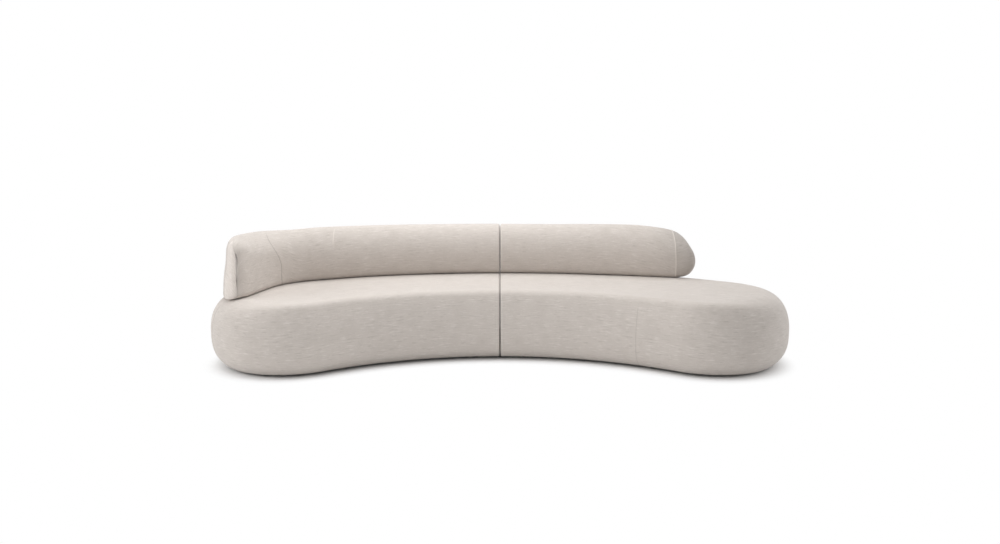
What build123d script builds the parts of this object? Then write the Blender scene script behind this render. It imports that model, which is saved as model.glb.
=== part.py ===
from build123d import *
import os
from collections import namedtuple
from math import acos, atan, atan2, cos, degrees, hypot, radians, sin, sqrt, tan

# Curved sofa in two upholstered modules that stand side by side.
# Each module has a low, pebble-shaped seat with a soft backrest roll on it.
# The left roll turns forward round the end as an arm, the right one stops in a dome.
# Millimetres, +X to the viewer's right, +Y to the back, +Z up.
# The origin is on the floor, in the middle of the outline's box.

os.makedirs("parts", exist_ok=True)

# Seat outline, seen from above: three arcs that run into each other
centre_depth = 960.0            # front to back at the joint between the modules
front_radius = 1607.0           # hollow arc along the front
back_radius = 2432.0            # round arc along the back
end_centre_x = 1213.0           # centre of the round end, from the joint

# Seat section, from the widest line of the outline inwards
floor_gap = 22.0                # shadow gap under the upholstery
foot_inset = 76.0               # how far the lower edge is drawn in
widest_height = 213.0
shoulder_width = 164.0          # width of the rounding above the widest line
seat_height = 420.0             # top of that rounding
crown_height = 9.0              # how much higher the middle of the seat stands
crown_reach = 390.0             # where the crown becomes level

# Joint between the modules
joint_gap = 6.0

# Backrest roll, insets are from the seat's widest line
roll_height = 738.0
roll_root_drop = 70.0           # hidden lower end, below the top of the seat's rounding
roll_foot_inset = 72.0          # outside face at the root
roll_lean_inset = 98.0          # outside face where the top rounding starts
roll_lean_drop = 88.0           # where that rounding starts, below the top
roll_ridge_inset = 170.0        # highest line of the outside face
roll_centre_inset = 300.0       # line where the front face meets the seat, at the joint
roll_left_spread = 418.0        # how much larger that line's radius is than the back arc's, left
roll_right_spread = 1038.0      # and on the right module
bulge_rise = 135.0              # where the front face stands out most, above the seat
bulge_depth = 28.0              # how far it overhangs the line on the seat
bulge_width = 140.0             # from there back to the highest line

# Arm, the left end of the left roll
arm_offset = 155.0              # inner face, from the centre of the round end
arm_turn = 11.3                 # degrees that the inner face is turned from straight ahead
arm_shoulder_drop = 168.0       # where the inner face starts to round over, below the top
arm_shoulder_width = 150.0

# Domed end of the right roll
dome_x = 1144.0                 # centre of the dome, from the joint
dome_radius = 120.0
dome_reach = 1250.0             # furthest point of the end face, from the joint
dome_bulge_rise = 110.0         # height of that point above the seat
dome_undercut = 48.0            # how far the end face is drawn in at the seat
dome_slope = 280.0              # length over which the top comes down to that point

# Layers of upholstery
cover_thickness = 8.0           # cloth with its bonded wadding
hem_thickness = 2.0             # cloth turned in under the frame
hem_width = 44.0
soft_gap = 0.3                  # between layers that aren't glued face to face
foam_facets = 3                 # flats that stand for a quarter of a curve on hidden faces

# Timber frame
rail_inset = 95.0               # outside of the rails, from the widest line
rail_width = 80.0
joint_rail_width = 60.0         # rails along the joint
rail_thickness = 24.0
rail_joint_inset = 30.0         # rails along the joint, from the joint face
top_rail_height = 280.0         # upper face of the upper rails
block_depth = 50.0
block_length = 70.0
brace_width = 70.0

# Webbing on the upper rails
strap_width = 50.0
strap_pitch = 130.0
strap_thickness = 2.0
strap_margin = 12.0             # from the outside of the rails

# Backrest frame
post_thickness = 36.0
post_width = 60.0
post_top_drop = 138.0           # below the roll's top
post_clearance = 1.0            # round a post where it passes through the upholstery
board_thickness = 9.0
board_rise = 22.0               # lower edge of the board, above the seat

# Underside
dust_cover_thickness = 1.0
dust_cover_margin = 10.0        # from the lower edge of the upholstery
glide_radius = 25.0
glide_rim = 3.0                 # bevel round the lower edge of a glide

# Connectors that hold the modules together
tongue_thickness = 3.0
tongue_width = 40.0
tongue_reach = 45.0             # past the joint, into the other module
tongue_root = 60.0              # fixed length under its own module
tongue_height = 9.0             # underside above the floor
jaw_wall = 3.0
jaw_clearance = 0.5
connector_inset = 230.0         # from the front and the back of the seat

# Places of the posts, blocks, braces and glides, from the joint or in degrees round the end
rear_post_shares = {"left": [0, 0.27, 0.55], "right": [0, 0.18, 0.46]}    # of the row of straps
end_post_shares = [0.04, 0.36]
front_block_shares = [0.3, 0.72]
end_block_shares = [0.12, 0.38, 0.62, 0.88]
rear_block_shares = [0.28, 0.6]
brace_shares = [0.26, 0.56, 0.9]
glide_shares = {"front": [0.14, 0.85], "end": [0.28, 0.72], "rear": [0.14, 0.85]}

overrun = 50.0                  # how far cutting shapes run past what they cut


# Plan geometry, right-hand half: where the three arcs have their centres
half_sum = (front_radius + back_radius) / 2
front_centre_y = -front_radius
back_centre_y = centre_depth - back_radius
half_apart = (back_centre_y - front_centre_y) / 2
end_centre_y = ((front_centre_y + back_centre_y) / 2
                + half_sum * sqrt(1 - end_centre_x ** 2 / (half_sum ** 2 - half_apart ** 2)))
end_radius = hypot(end_centre_x, end_centre_y - front_centre_y) - front_radius
front_most_y = end_centre_y - end_radius
shift_y = -(centre_depth + front_most_y) / 2

front_centre = Vector(0, front_centre_y + shift_y)
back_centre = Vector(0, back_centre_y + shift_y)
end_centre = Vector(end_centre_x, end_centre_y + shift_y)
front_turn = degrees(atan2(end_centre.Y - front_centre.Y, end_centre.X))
back_turn = degrees(atan2(end_centre.Y - back_centre.Y, end_centre.X))

# An arc of the plan: the angles are in degrees, and the seat lies outside or inside the arc
PlanArc = namedtuple("PlanArc", "centre radius start sweep inward")
front_arc = PlanArc(front_centre, front_radius, front_turn, 90 - front_turn, 1)
end_arc = PlanArc(end_centre, end_radius, front_turn - 180, 180 - front_turn + back_turn, -1)
back_arc = PlanArc(back_centre, back_radius, back_turn, 90 - back_turn, -1)
plan_arcs = [front_arc, end_arc, back_arc]


cut_size = 2 * (end_centre_x + end_radius + overrun)     # boxes that cut other shapes


def direction(angle):
    """Unit vector in plan at an angle in degrees."""
    return Vector(cos(radians(angle)), sin(radians(angle)))


def swept(section, arc):
    """Turn a section about an arc's centre. The section is drawn as inset and height."""
    outward = direction(arc.start)
    inward = outward * arc.inward
    seat = Plane(origin=arc.centre + outward * arc.radius, x_dir=inward,
                 z_dir=inward.cross(Vector(0, 0, 1)))
    return revolve(seat * section, Axis(arc.centre, (0, 0, 1)), revolution_arc=arc.sweep)


def outline(inset):
    """Half of the seat outline, drawn in by an inset."""
    edges = []
    for arc in plan_arcs:
        edges += CenterArc(arc.centre, arc.radius + arc.inward * inset, arc.start, arc.sweep).edges()
    front_y = front_centre.Y + front_radius + inset
    back_y = back_centre.Y + back_radius - inset
    edges += Line((0, front_y), (0, back_y)).edges()
    return make_face(edges)


def slab(face, low, high):
    """Upright solid on a plan face between two heights."""
    return extrude(Location((0, 0, low)) * face, high - low)


def beyond(x):
    """Everything to the right of an upright plane across the joint."""
    return Location((x + cut_size / 2, 0, 0)) * Box(cut_size, cut_size, cut_size)


def layer(low, high):
    """Everything between two heights."""
    return Location((0, 0, (low + high) / 2)) * Box(cut_size, cut_size, high - low)


def quarter(centre, width, height, first, last, facets):
    """Part of an ellipse in a section, as one curve or as straight facets."""
    if not facets:
        return EllipticalCenterArc(centre, width, height, start_angle=first, arc_size=last - first)
    points = []
    for step in range(facets + 1):
        angle = radians(first + (last - first) * step / facets)
        points.append((centre[0] + width * cos(angle), centre[1] + height * sin(angle)))
    return Polyline(*points)


# Seat section: where the rounding passes into the crown
crown_slope = 2 * atan(crown_height / (crown_reach - shoulder_width))
shoulder_height = seat_height - widest_height
shoulder_angle = degrees(atan2(shoulder_height, shoulder_width * tan(crown_slope)))
foot_drop = widest_height - floor_gap
foot_radius = (foot_inset ** 2 + foot_drop ** 2) / (2 * foot_inset)


def seat_top(inset):
    """Height of the crown at an inset beyond the shoulder."""
    start = shoulder_width * (1 - cos(radians(shoulder_angle)))
    start_height = widest_height + shoulder_height * sin(radians(shoulder_angle))
    radius = (crown_reach - start) / sin(crown_slope)
    drop = radius - sqrt(radius ** 2 - (crown_reach - inset) ** 2)
    return start_height + radius * (1 - cos(crown_slope)) - drop


def seat_section(shrink, low, facets):
    """Region under the seat's skin, from the skin to where the crown is level."""
    side = (shoulder_width, widest_height)
    width = shoulder_width - shrink
    height = shoulder_height - shrink
    last = 180 - shoulder_angle
    top = seat_top(crown_reach) - shrink
    upper = quarter(side, width, height, 180, last, facets)
    corner = (side[0] + width * cos(radians(last)), side[1] + height * sin(radians(last)))
    radius = foot_radius - shrink
    foot = foot_radius - sqrt(radius ** 2 - (widest_height - low) ** 2)
    middle = ((shrink + foot) / 2, (widest_height + low) / 2)
    if facets:
        lower = Line((foot, low), (shrink, widest_height))
        crown = Line(corner, (crown_reach, top))
    else:
        lower_mid = foot_radius - sqrt(radius ** 2 - (widest_height - middle[1]) ** 2)
        lower = ThreePointArc((foot, low), (lower_mid, middle[1]), (shrink, widest_height))
        half = (corner[0] + crown_reach) / 2
        crown = ThreePointArc(corner, (half, seat_top(half) - shrink), (crown_reach, top))
    inner = Line((crown_reach, top), (crown_reach, low))
    base = Line((crown_reach, low), (foot, low))
    return make_face([*lower.edges(), *upper.edges(), *crown.edges(), *inner.edges(), *base.edges()])


def pebble(shrink, low, facets, joint_x):
    """The seat's form, shrunk inwards, cut off at the joint."""
    section = seat_section(shrink, low, facets)
    body = slab(outline(crown_reach), low, seat_top(crown_reach) - shrink)
    for arc in plan_arcs:
        body += swept(section, arc)
    return body & beyond(joint_x)


# Insets and places of the layers
reach = end_centre_x + end_radius
joint_face = joint_gap / 2
foam_shrink = cover_thickness + soft_gap
foam_joint = joint_face + foam_shrink
base_height = floor_gap + hem_thickness
rail_joint = joint_face + rail_joint_inset
rail_inner = rail_inset + rail_width
lower_rail_top = base_height + rail_thickness
upper_rail_low = top_rail_height - rail_thickness
deck_height = top_rail_height + 2 * strap_thickness
post_inner = rail_inner + post_thickness
post_top_height = roll_height - post_top_drop
board_low_height = seat_height + board_rise
strap_count = int((reach - rail_inner - rail_joint) / strap_pitch)


def rectangle(left, right, low, high):
    """Upright rectangle in a section."""
    return Location(((left + right) / 2, (low + high) / 2)) * Rectangle(right - left, high - low)


def block(x_low, x_high, y_low, y_high, z_low, z_high):
    """Box between two values on each axis."""
    centre = ((x_low + x_high) / 2, (y_low + y_high) / 2, (z_low + z_high) / 2)
    return Location(centre) * Box(x_high - x_low, y_high - y_low, z_high - z_low)


def bar(arc, inset_low, inset_high, low, high, angle=None, length=None):
    """Curved bar along an arc, whole, or of one length about an angle."""
    if length:
        turn = degrees(length / (arc.radius + arc.inward * (inset_low + inset_high) / 2))
        arc = arc._replace(start=angle - turn / 2, sweep=turn)
    return swept(rectangle(inset_low, inset_high, low, high), arc)


def strip(x_low, x_high, inset, low, high):
    """Straight board from the front of the outline to its back."""
    return slab(outline(inset), low, high) & block(x_low, x_high, -centre_depth, centre_depth, low, high)


def joined(solids):
    """One compound of separate solids."""
    return Compound(children=[Solid(s.wrapped) for part in solids for s in part.solids()])


def arc_angle(arc, x):
    """Angle at which an arc about the joint's plane stands at a distance from the joint."""
    return degrees(acos(x / arc.radius))


# Backrest: its front face turns about a centre of its own on each module
roll_left_radius = back_radius + roll_left_spread
roll_right_radius = back_radius + roll_right_spread
roll_root_height = seat_height - roll_root_drop
roll_lean_height = roll_height - roll_lean_drop
bulge_height = seat_height + bulge_rise
arm_shoulder_height = roll_height - arm_shoulder_drop


def front_arc_of(radius):
    """Arc of the front face where it stands out most."""
    centre = Vector(0, back_centre.Y + back_radius - roll_centre_inset - radius)
    return PlanArc(centre, radius - bulge_depth, 0, 90, 1)


def overhung_section(shrink, facets, depth, undercut, start, width):
    """Everything behind a face that is drawn in at the seat and rounds over above a height."""
    top = roll_height - shrink
    foot = undercut + shrink
    rise = start - seat_height
    radius = (undercut ** 2 + rise ** 2) / (2 * undercut)
    low = Line((foot, roll_root_height), (foot, seat_height))
    if facets:
        overhang = Line((foot, seat_height), (shrink, start))
    else:
        half = rise / 2
        middle = radius - sqrt(radius ** 2 - half ** 2)
        overhang = ThreePointArc((foot, seat_height), (middle, start - half), (shrink, start))
    over = quarter((width, start), width - shrink, top - start, 180, 90, facets)
    rest = Polyline((width, top), (depth, top), (depth, roll_root_height), (foot, roll_root_height))
    return make_face([*low.edges(), *overhang.edges(), *over.edges(), *rest.edges()])


def front_section(shrink, facets, depth):
    """Everything behind the front face, from where it stands out most."""
    return overhung_section(shrink, facets, depth, bulge_depth, bulge_height, bulge_width)


def arm_section(shrink, facets, depth):
    """Everything behind the inner face of the arm."""
    top = roll_height - shrink
    face = Line((shrink, roll_root_height), (shrink, arm_shoulder_height))
    over = quarter((arm_shoulder_width, arm_shoulder_height), arm_shoulder_width - shrink,
                   top - arm_shoulder_height, 180, 90, facets)
    rest = Polyline((arm_shoulder_width, top), (depth, top), (depth, roll_root_height),
                    (shrink, roll_root_height))
    return make_face([*face.edges(), *over.edges(), *rest.edges()])


def outer_section(shrink, facets, depth):
    """Everything inside the outside face of the roll."""
    top = roll_height - shrink
    foot = (roll_foot_inset + shrink, roll_root_height)
    lean = (roll_lean_inset + shrink, roll_lean_height)
    slope = (roll_lean_inset - roll_foot_inset) / (roll_lean_height - roll_root_height)
    corner = (lean[0] + slope * (top - roll_lean_height), top)
    ridge = (roll_ridge_inset, top)
    over = Bezier(lean, corner, ridge)
    if facets:
        over = Polyline(lean, *[over @ (step / facets) for step in range(1, facets)], ridge)
    rest = Polyline(ridge, (depth, top), (depth, roll_root_height), foot)
    return make_face([*Line(foot, lean).edges(), *over.edges(), *rest.edges()])


outer_depth = end_radius - overrun / 2


def outer_body(arc, shrink, facets):
    """The filled form inside the outside face along one arc."""
    return swept(outer_section(shrink, facets, outer_depth), arc)


def behind_front(radius, shrink, facets, last_x):
    """Everything behind the front face, from the joint to a distance from it."""
    arc = front_arc_of(radius)
    first = arc_angle(arc, last_x)
    return swept(front_section(shrink, facets, outer_depth), arc._replace(start=first, sweep=90 - first))


def behind_arm(shrink, facets):
    """Everything behind the arm's inner face."""
    across = direction(arm_turn)
    face = Plane(origin=end_centre + across * arm_offset, x_dir=across,
                 z_dir=across.cross(Vector(0, 0, 1)))
    return extrude(face * arm_section(shrink, facets, end_radius), end_radius, both=True)


# Dome: its centre lies behind the front face by its radius
dome_front = front_arc_of(roll_right_radius)
dome_line = dome_front.radius + dome_radius
dome_centre = dome_front.centre + Vector(dome_x, sqrt(dome_line ** 2 - dome_x ** 2))
dome_turn = degrees(acos(dome_x / dome_line))


def dome(shrink, facets):
    """Round end of the right roll, with the front face's own section."""
    section = front_section(shrink, facets, outer_depth)
    section = section & rectangle(0, dome_radius, roll_root_height, roll_height)
    return swept(section, PlanArc(dome_centre, dome_radius, dome_turn - 180, 180, -1))


def within_end(shrink, facets):
    """Everything behind the end face, whose top slopes down towards the dome."""
    section = overhung_section(shrink, facets, dome_reach, dome_undercut,
                               seat_height + dome_bulge_rise, dome_slope)
    face = Plane(origin=(dome_reach, 0, 0), x_dir=(-1, 0, 0), z_dir=(0, 1, 0))
    return extrude(face * section, centre_depth, both=True)


def right_roll(shrink, facets):
    """Roll of the right module up to its dome."""
    last_x = dome_front.radius * cos(radians(dome_turn))
    body = outer_body(back_arc, shrink, facets) & within_end(shrink, facets)
    return body & behind_front(roll_right_radius, shrink, facets, last_x) & beyond(joint_face + shrink)


def right_dome(shrink, facets):
    """Dome at the end of the right roll."""
    return outer_body(back_arc, shrink, facets) & within_end(shrink, facets) & dome(shrink, facets)


def left_roll(arc, shrink, facets):
    """The part of the left roll that lies along one arc, drawn on the right."""
    inner = behind_front(roll_left_radius, shrink, facets, end_centre_x + end_radius / 2)
    inner += behind_arm(shrink, facets)
    return outer_body(arc, shrink, facets) & inner & beyond(joint_face + shrink)


def spots(arc, shares):
    """Angles on an arc at shares of its length from the joint or from the front."""
    if arc is end_arc:
        return [arc.start + share * arc.sweep for share in shares]
    return [90 - share * (90 - arc.start) for share in shares]


def post_angles(side):
    """Arc and angle of each backrest post, the rear ones in the gaps between straps."""
    first = rail_joint + strap_margin + (strap_width + strap_pitch) / 2
    radius = back_radius - (rail_inner + post_inner) / 2
    places = [(back_arc, degrees(acos((first + round(share * strap_count) * strap_pitch) / radius)))
              for share in rear_post_shares[side]]
    if side == "left":
        places += [(end_arc, end_arc.start + end_arc.sweep * (1 - share)) for share in end_post_shares]
    return places


def posts(side, clearance):
    """Backrest posts, or the room round them."""
    solids = []
    for arc, angle in post_angles(side):
        solids.append(bar(arc, rail_inner - clearance, post_inner + clearance,
                          lower_rail_top - clearance, post_top_height + clearance,
                          angle, post_width + 2 * clearance))
    return solids


def board_arc(arc, side):
    """Stretch of an arc that the backrest board follows."""
    angles = [angle for own, angle in post_angles(side) if own is arc]
    half = degrees(post_width / 2 / (arc.radius - post_inner))
    first, last = min(angles) - half, max(angles) + half
    if side == "left" and arc is back_arc:
        first = arc.start
    if arc is end_arc:
        last = arc.start + arc.sweep
    return arc._replace(start=first, sweep=last - first)


def board(arc, side):
    """Curved plywood on the outside of the posts."""
    return bar(board_arc(arc, side), rail_inner - board_thickness, rail_inner,
               board_low_height, post_top_height)


def channel(arc, side):
    """Room in the foam for the board and the posts."""
    stretch = board_arc(arc, side)
    turn = degrees(post_clearance / (arc.radius - post_inner))
    stretch = stretch._replace(start=stretch.start - turn, sweep=stretch.sweep + 2 * turn)
    return bar(stretch, rail_inner - board_thickness - post_clearance, post_inner + post_clearance,
               roll_root_height, post_top_height + post_clearance)


def seat_parts(side):
    """Upholstery and frame of one seat, drawn on the right."""
    room = posts(side, post_clearance)
    skin = pebble(0, floor_gap, 0, joint_face)
    skin -= pebble(cover_thickness, base_height, foam_facets, joint_face + cover_thickness)
    skin -= slab(outline(foot_inset + hem_width), 0, base_height + hem_thickness) & beyond(rail_joint)
    foam = pebble(foam_shrink, base_height, foam_facets, foam_joint)
    top_foam = foam & layer(deck_height, roll_height)
    for slot in room:
        skin -= slot
        top_foam -= slot
    side_section = seat_section(foam_shrink, base_height, foam_facets)
    side_section = side_section & rectangle(0, rail_inset - soft_gap, base_height, deck_height)
    parts = {"seat_cover": skin, "seat_foam": top_foam,
             "joint_foam": foam & layer(base_height, deck_height)
             & block(0, rail_joint - soft_gap, -centre_depth, centre_depth, 0, roll_height)}
    for name, arc in (("front", front_arc), ("end", end_arc), ("rear", back_arc)):
        parts[name + "_foam"] = swept(side_section, arc) & beyond(rail_joint)
        for level, low in (("lower", base_height), ("upper", upper_rail_low)):
            rail = bar(arc, rail_inset, rail_inner, low, low + rail_thickness)
            parts[f"{level}_{name}_rail"] = rail & beyond(rail_joint)
    for level, low in (("lower", base_height), ("upper", upper_rail_low)):
        parts[level + "_joint_rail"] = strip(rail_joint, rail_joint + joint_rail_width, rail_inner,
                                             low, low + rail_thickness)
    blocks = []
    inset = rail_inset + (rail_width - block_depth) / 2
    for arc, shares in ((front_arc, front_block_shares), (end_arc, end_block_shares),
                        (back_arc, rear_block_shares)):
        for angle in spots(arc, shares):
            blocks.append(bar(arc, inset, inset + block_depth, lower_rail_top, upper_rail_low,
                              angle, block_length))
    parts["rail_blocks"] = joined(blocks)
    parts["braces"] = joined([strip(end_centre_x * share, end_centre_x * share + brace_width,
                                    rail_inner, base_height, lower_rail_top)
                              for share in brace_shares])
    return parts


def webbing(side):
    """Straps across the seat, and straps along it on top of them."""
    room = posts(side, post_clearance)
    inset = rail_inset + strap_margin
    cross, along = [], []
    for step in range(strap_count):
        x = rail_joint + strap_margin + step * strap_pitch
        strap = strip(x, x + strap_width, inset, top_rail_height, top_rail_height + strap_thickness)
        for slot in room:
            strap -= slot
        cross.append(strap)
    low = top_rail_height + strap_thickness
    first = front_centre.Y + front_radius + rail_inner
    last = back_centre.Y + back_radius - post_inner - 2 * strap_width
    steps = int((last - first) / strap_pitch)
    for step in range(steps):
        y = first + step * strap_pitch
        strap = slab(outline(inset), low, low + strap_thickness)
        strap &= block(rail_joint, reach, y, y + strap_width, low, low + strap_thickness)
        for slot in room:
            strap -= slot
        along.append(strap)
    return {"cross_webbing": joined(cross), "long_webbing": joined(along)}


def underside():
    """Dust cover and glides, drawn on the right."""
    low = floor_gap - dust_cover_thickness
    sheet = slab(outline(foot_inset + dust_cover_margin), low, floor_gap)
    inset = rail_inset + rail_width / 2
    glides = []
    for arc, name in ((front_arc, "front"), (end_arc, "end"), (back_arc, "rear")):
        for angle in spots(arc, glide_shares[name]):
            centre = arc.centre + direction(angle) * (arc.radius + arc.inward * inset)
            disc = Cylinder(glide_radius, low, align=(Align.CENTER, Align.CENTER, Align.MIN))
            disc = chamfer(disc.edges().sort_by(Axis.Z)[0], glide_rim)
            glides.append(Location(centre) * disc)
    return {"dust_cover": sheet & beyond(joint_face + dust_cover_margin), "glides": joined(glides)}


def backrest_parts(side):
    """Cover, foam and frame of one backrest, drawn on the right."""
    seat = pebble(-soft_gap, floor_gap, 0, 0)
    parts = {"back_posts": joined(posts(side, 0)), "back_board": board(back_arc, side)}
    if side == "left":
        for name, arc in (("back", back_arc), ("arm", end_arc)):
            skin = left_roll(arc, 0, 0) - left_roll(arc, cover_thickness, foam_facets)
            foam = left_roll(arc, foam_shrink, foam_facets) - channel(arc, side)
            parts[name + "_cover"] = skin - seat
            parts[name + "_foam"] = foam - seat
        parts["arm_board"] = board(end_arc, side)
    else:
        inner = right_roll(cover_thickness, foam_facets) + right_dome(cover_thickness, foam_facets)
        foam = right_roll(foam_shrink, foam_facets) + right_dome(foam_shrink, foam_facets)
        parts["back_cover"] = right_roll(0, 0) - inner - seat
        parts["end_cap_cover"] = right_dome(0, 0) - inner - seat
        parts["back_foam"] = foam - channel(back_arc, side) - seat
    return parts


def connectors():
    """Spring jaws under the left module and tongues under the right one."""
    front_y = front_centre.Y + front_radius + connector_inset
    back_y = back_centre.Y + back_radius - connector_inset
    tongue_top = tongue_height + tongue_thickness
    under = floor_gap - dust_cover_thickness
    half = tongue_width / 2
    wide = half + jaw_clearance
    jaws, tongues = [], []
    for y in (front_y, back_y):
        tongue = block(-tongue_reach, tongue_root, y - half, y + half, tongue_height, tongue_top)
        tongue += block(joint_face + dust_cover_margin, tongue_root, y - half, y + half, tongue_top, under)
        tongues.append(tongue)
        jaw = block(-tongue_root, -joint_face - dust_cover_margin, y - wide - jaw_wall,
                    y + wide + jaw_wall, tongue_height - jaw_clearance - jaw_wall, under)
        jaw -= block(-tongue_root - overrun, 0, y - wide, y + wide,
                     tongue_height - jaw_clearance, tongue_top + jaw_clearance)
        jaws.append(jaw)
    return joined(jaws), joined(tongues)


def save(name, shape):
    """Write one sub-part."""
    export_step(shape, f"parts/{name}.step")


for side in ("left", "right"):
    for name, shape in (seat_parts(side) | webbing(side) | underside() | backrest_parts(side)).items():
        save(f"{side}_{name}", mirror(shape, about=Plane.YZ) if side == "left" else shape)

jaws, tongues = connectors()
save("left_connector_jaws", jaws)
save("right_connector_tongues", tongues)
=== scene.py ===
# %% [markdown]
# A curved sofa in two modules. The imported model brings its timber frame, webbing,
# feet and connectors. This lesson makes the upholstery over them, gives every part
# its finish, and sets up a plain white studio with the camera of the photograph.

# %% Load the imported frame
import bmesh
import bpy
import numpy as np
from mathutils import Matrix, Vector
from math import atan2, cos, hypot, pi, radians, sin, sqrt


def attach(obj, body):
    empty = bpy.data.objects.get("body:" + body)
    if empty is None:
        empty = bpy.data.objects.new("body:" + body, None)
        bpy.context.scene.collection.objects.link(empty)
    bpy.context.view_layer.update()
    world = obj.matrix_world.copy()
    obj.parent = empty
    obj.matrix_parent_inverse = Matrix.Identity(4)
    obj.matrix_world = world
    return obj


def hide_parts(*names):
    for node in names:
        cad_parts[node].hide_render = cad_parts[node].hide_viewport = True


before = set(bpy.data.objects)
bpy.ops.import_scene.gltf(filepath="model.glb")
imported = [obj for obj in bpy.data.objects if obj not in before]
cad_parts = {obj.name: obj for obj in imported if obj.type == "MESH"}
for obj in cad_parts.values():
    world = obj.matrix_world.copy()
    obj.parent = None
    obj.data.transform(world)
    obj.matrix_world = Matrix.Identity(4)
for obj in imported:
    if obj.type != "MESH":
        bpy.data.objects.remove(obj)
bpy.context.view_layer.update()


def put(name, data, place=(0, 0, 0), turn=(0, 0, 0)):
    """A new object in the scene, at a place and turned."""
    made = bpy.data.objects.new(name, data)
    made.location, made.rotation_euler = place, turn
    bpy.context.scene.collection.objects.link(made)
    return made


# %% [markdown]
# Seen from above, each seat is half of a kidney: a hollow arc along the front, a
# round one along the back, and a circle that touches both at the end. Lengths are
# in metres, and everything is worked out on the right and mirrored for the left.

# %% Plan of the seat
centre_depth = 0.960
front_radius = 1.607
back_radius = 2.432
end_x = 1.213
half_sum = (front_radius + back_radius) / 2
half_apart = (centre_depth - back_radius + front_radius) / 2
end_y = ((centre_depth - back_radius - front_radius) / 2
         + half_sum * sqrt(1 - end_x ** 2 / (half_sum ** 2 - half_apart ** 2)))
end_radius = hypot(end_x, end_y + front_radius) - front_radius
shift_y = -(centre_depth + end_y - end_radius) / 2
front_centre = np.array([0.0, shift_y - front_radius])
back_centre = np.array([0.0, shift_y + centre_depth - back_radius])
end_centre = np.array([end_x, end_y + shift_y])
front_turn = atan2(end_centre[1] - front_centre[1], end_x)
back_turn = atan2(end_centre[1] - back_centre[1], end_x)
joint_face = 0.003
print("end circle", end_centre.round(4), round(end_radius, 4))


def toward(angle):
    """Unit vector in plan at an angle: its cosine and its sine."""
    return np.stack([np.cos(angle), np.sin(angle)], -1)


def polar(plan, centre):
    """Angle and distance of places in plan about a centre."""
    x, y = np.moveaxis(plan - centre, -1, 0)
    return np.arctan2(y, x), np.hypot(x, y)


def seat_inset(plan):
    """Distance in from the outline: to the nearer of the front and back arcs, and
    round the end the distance to the end circle."""
    from_front = polar(plan, front_centre)[1] - front_radius
    from_back = back_radius - polar(plan, back_centre)[1]
    angle, from_middle = polar(plan, end_centre)
    round_end = (angle > front_turn - pi) & (angle < back_turn)
    return np.where(round_end, end_radius - from_middle, np.minimum(from_front, from_back))


def lifted(plan, z):
    """Points in space from places in plan and their heights."""
    return np.concatenate([plan, z[..., None]], -1)


def lengths_along(points, axis=0):
    """Length along lines of points, from the first point of each."""
    steps = np.diff(points, axis=axis, prepend=np.take(points, [0], axis))
    return np.cumsum(np.linalg.norm(steps, axis=-1), axis)


def nearest(values, wanted):
    """Number of the value that is nearest to a wanted one."""
    return int(np.argmin(np.abs(values - wanted)))


# %% [markdown]
# Cut across, a seat is a pebble: it is drawn in towards the floor, widest below half
# its height, and rounds over to a level top in a quarter of an oval that is a little
# fuller than an ellipse, as foam under a tight cover is. Along the hollow front the
# foam is cut with a tighter edge: the side leans back a little and then turns over a
# small radius. Both curves are stored as points with evenly shared lengths, so that
# one can be blended into the other along the sofa.

# %% Section of the seat
floor_gap = 0.014
foot_inset = 0.076
foot_round = 0.007
foot_power = 3.0
widest_height = 0.192
shoulder_width = 0.164
seat_height = 0.420
shoulder_power = 2.3
level_reach = 0.390
edge_lean = radians(20)
edge_radius = 0.045
foot_turn = 0.35
shoulder_height = seat_height - widest_height


def seat_top(inset):
    """Height of the seat at an inset: a quarter of an oval, then level."""
    share = np.clip(1 - inset / shoulder_width, 0, 1)
    rise = (1 - share ** shoulder_power) ** (1 / shoulder_power)
    return widest_height + shoulder_height * rise


def soft_shoulder():
    """Insets and heights of a quarter of an oval: powers of a cosine and a sine."""
    turn = np.linspace(0, pi / 2, 160)
    oval = 2 / shoulder_power
    return np.c_[shoulder_width * (1 - np.clip(np.cos(turn), 0, 1) ** oval),
                 widest_height + shoulder_height * np.sin(turn) ** oval]


def firm_shoulder():
    """Insets and heights of two circles: a wide one up to the lean, then the edge's."""
    wide = (shoulder_height - edge_radius * (1 - sin(edge_lean))) / sin(edge_lean)
    lean = np.linspace(0, edge_lean, 100)
    turn = np.linspace(edge_lean, pi / 2, 60)[1:]
    side = np.c_[wide * (1 - np.cos(lean)), widest_height + wide * np.sin(lean)]
    edge = np.c_[cos(edge_lean) - np.cos(turn), np.sin(turn) - sin(edge_lean)]
    return np.vstack([side, side[-1] + edge_radius * edge])


def seat_profile(points, shoulder):
    """Insets and heights, evenly along the curve: a small round at the foot, a side
    drawn in by a power of its drop, a shoulder, and the level top."""
    z = np.linspace(floor_gap + foot_round, widest_height, 80)
    drop = (widest_height - z) / (widest_height - floor_gap)
    side = np.c_[foot_inset * drop ** foot_power, z]
    turn = np.linspace(pi / 2, foot_turn, 12)[:, None]
    middle = side[0] + [foot_round * cos(foot_turn), foot_round * sin(foot_turn)]
    foot = middle + foot_round * np.c_[-np.cos(turn), -np.sin(turn)]
    level = np.c_[np.linspace(shoulder[-1, 0], level_reach, 60), np.full(60, seat_height)]
    curve = np.vstack([foot, side[1:], shoulder[1:], level[1:]])
    length = lengths_along(curve)
    even = np.linspace(0, length[-1], points)
    return np.stack([np.interp(even, length, part) for part in curve.T], -1), even


# %% [markdown]
# Every soft form here is peeled like an orange: columns run from a top line to a
# bottom line, first along the front from the joint to the far end, then back along
# the rear. The two halves share their first and last rows, so the form closes.
# At the joint the fabric turns over a small radius on to an end face, which swells
# until it almost touches the other module's, so that no light comes through.

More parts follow.
